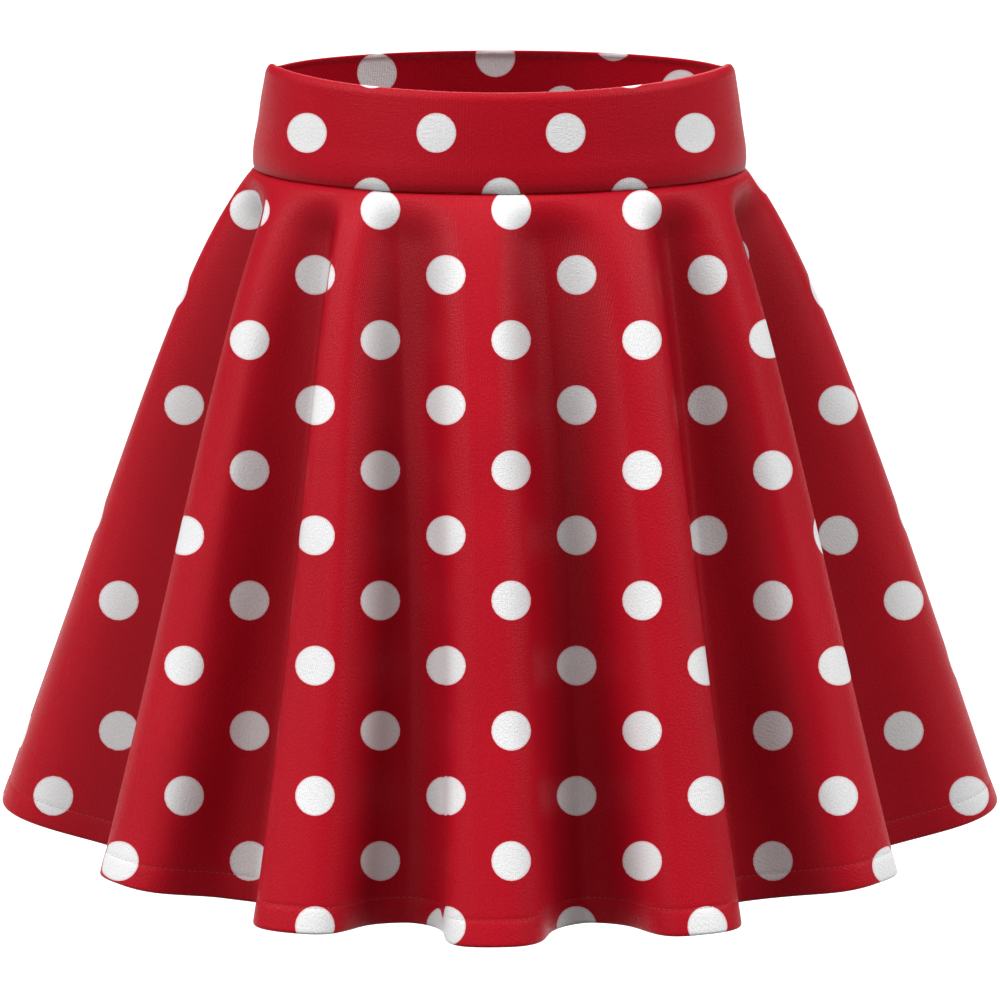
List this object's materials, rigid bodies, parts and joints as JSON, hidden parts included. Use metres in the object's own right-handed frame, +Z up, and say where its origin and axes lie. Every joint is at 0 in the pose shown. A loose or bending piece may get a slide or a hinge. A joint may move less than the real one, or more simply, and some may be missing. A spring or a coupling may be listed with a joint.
{
  "type": "circle skirt",
  "caption": "Short flared circle skirt, filled out as when worn: a deep doubled waistband over one layer of knit that falls in soft uneven flutes to a narrow stitched hem.",
  "frame": {"origin": "middle of the waist ring, half way up the waistband, where the wearer's waist holds the skirt", "axes": "+Z up out of the waist opening, -Y out of the front, +X to the right as seen from the front"},
  "size_m": [0.5336, 0.4932, 0.411],
  "materials": {
    "band_knit": "smooth red polyester and elastane knit with white polka dots, doubled, soft sheen",
    "skirt_knit": "smooth red polyester and elastane knit with white polka dots, one layer, soft sheen",
    "sewing_thread": "fine red polyester thread of the hem and seams"
  },
  "bodies": {
    "root": {"waistband_front": "band_knit", "waistband_back": "band_knit", "skirt_front": "skirt_knit", "skirt_back": "skirt_knit"}
  },
  "joints": []
}
